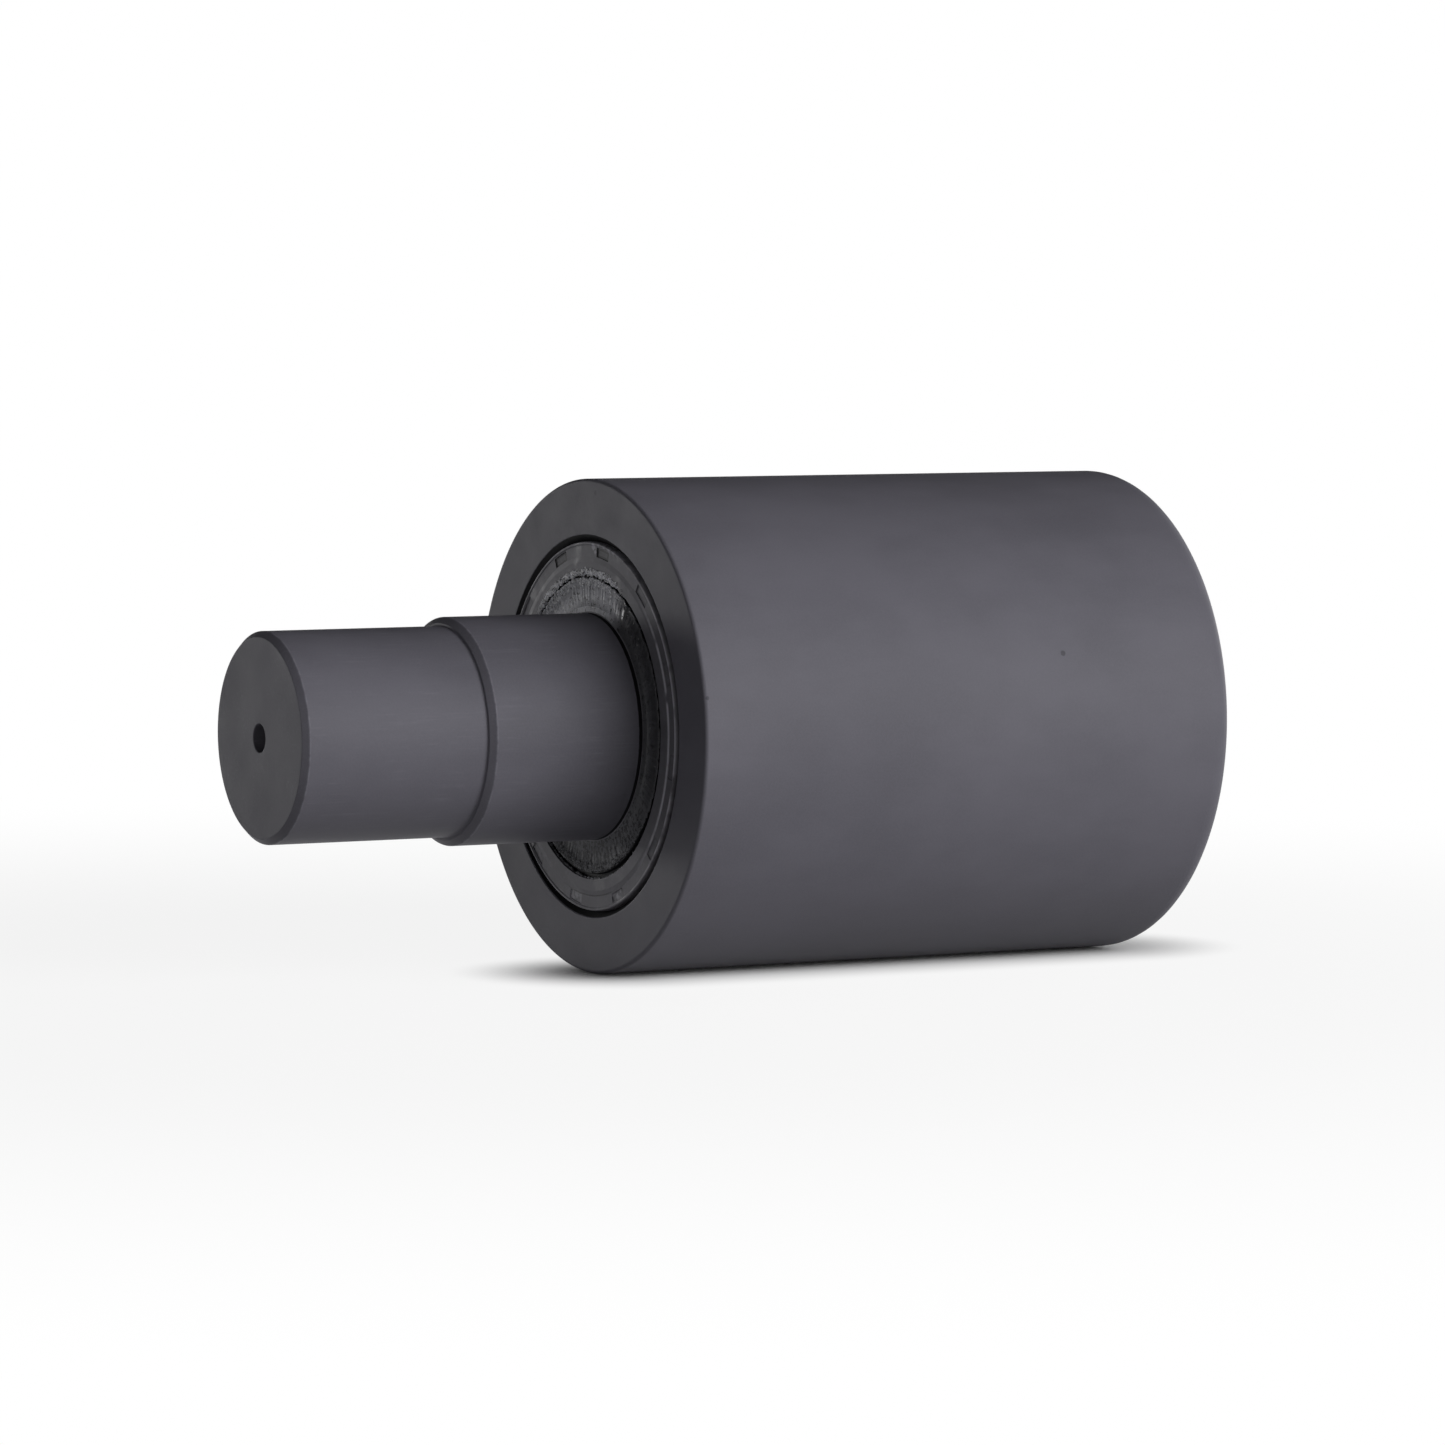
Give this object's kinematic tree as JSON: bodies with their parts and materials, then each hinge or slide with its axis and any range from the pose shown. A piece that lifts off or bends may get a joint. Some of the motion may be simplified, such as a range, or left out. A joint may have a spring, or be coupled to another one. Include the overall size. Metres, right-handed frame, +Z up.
{
  "type": "excavator carrier roller",
  "caption": "Cantilever track carrier roller with a stepped stub shaft, a rubber-lipped shaft seal and a thick cylindrical shell turning on caged ball bearings.",
  "frame": {"origin": "centre of the shaft's shoulder plane, where the bracket's face meets the shaft", "axes": "+Y along the axis of rotation, from the stub shaft into the roller; +Z up, level with the machine"},
  "size_m": [0.083, 0.1625, 0.083],
  "materials": {
    "dark_paint": "satin dark grey paint",
    "seal_rubber": "moulded nitrile rubber, greasy",
    "bearing_steel": "ground bearing steel",
    "ball_steel": "polished",
    "cage_steel": "pressed sheet",
    "turned_steel": "turned",
    "spring_steel": "blackened spring steel",
    "zinc_steel": "zinc plated",
    "copper": "annealed copper"
  },
  "bodies": {
    "shaft_group": {"shaft": "dark_paint", "front_bearing_inner_ring": "bearing_steel", "bearing_spacer": "turned_steel", "rear_bearing_inner_ring": "bearing_steel", "shaft_circlip": "spring_steel"},
    "roller": {"roller_shell": "dark_paint", "front_bearing_outer_ring": "bearing_steel", "rear_bearing_outer_ring": "bearing_steel", "bearing_circlip": "spring_steel", "seal_case": "turned_steel", "seal_rubber": "seal_rubber", "seal_garter_spring": "spring_steel", "end_cover": "dark_paint", "end_cover_o_ring": "seal_rubber", "end_cover_circlip": "spring_steel", "filler_plug": "zinc_steel", "filler_plug_washer": "copper"},
    "front_cage": {"front_bearing_balls": "ball_steel", "front_bearing_cage_near": "cage_steel", "front_bearing_cage_far": "cage_steel", "front_bearing_rivets": "cage_steel"},
    "rear_cage": {"rear_bearing_balls": "ball_steel", "rear_bearing_cage_near": "cage_steel", "rear_bearing_cage_far": "cage_steel", "rear_bearing_rivets": "cage_steel"}
  },
  "joints": [
    {"name": "roller_spin", "type": "hinge", "parent": "shaft_group", "child": "roller", "pos_m": [0, 0.0785, 0], "axis": [0, 1, 0], "continuous": true},
    {"name": "front_cage_orbit", "type": "hinge", "parent": "shaft_group", "child": "front_cage", "pos_m": [0, 0.0465, 0], "axis": [0, 1, 0], "continuous": true},
    {"name": "rear_cage_orbit", "type": "hinge", "parent": "shaft_group", "child": "rear_cage", "pos_m": [0, 0.0975, 0], "axis": [0, 1, 0], "continuous": true}
  ],
  "couplings": [
    {"joint": "front_cage_orbit", "follows": "roller_spin", "ratio": 0.60353},
    {"joint": "rear_cage_orbit", "follows": "roller_spin", "ratio": 0.60353}
  ]
}
